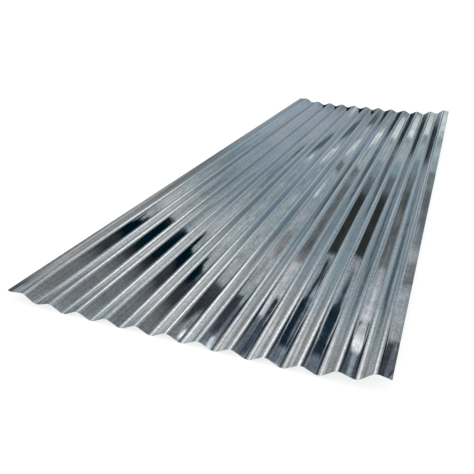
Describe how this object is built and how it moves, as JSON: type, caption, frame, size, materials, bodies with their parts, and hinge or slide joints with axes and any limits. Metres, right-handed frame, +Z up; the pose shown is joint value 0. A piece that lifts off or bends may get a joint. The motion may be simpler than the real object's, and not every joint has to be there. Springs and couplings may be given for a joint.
{
  "type": "corrugated metal sheet",
  "caption": "Long galvanized steel sheet with rounded corrugations along its length, square-cut ends and sides that curl up a little. Used for roofing, siding and fencing.",
  "frame": {"origin": "on the floor, under the middle of the sheet's bounding box", "axes": "+Y along the corrugations, +X across them towards the side with the wider curl, +Z up"},
  "size_m": [0.8064, 2.4384, 0.0364],
  "materials": {
    "galvanized_steel": "smooth hot-dip zinc, fairly glossy, with a faint spangle"
  },
  "bodies": {
    "root": {"corrugated_sheet": "galvanized_steel"}
  },
  "joints": []
}
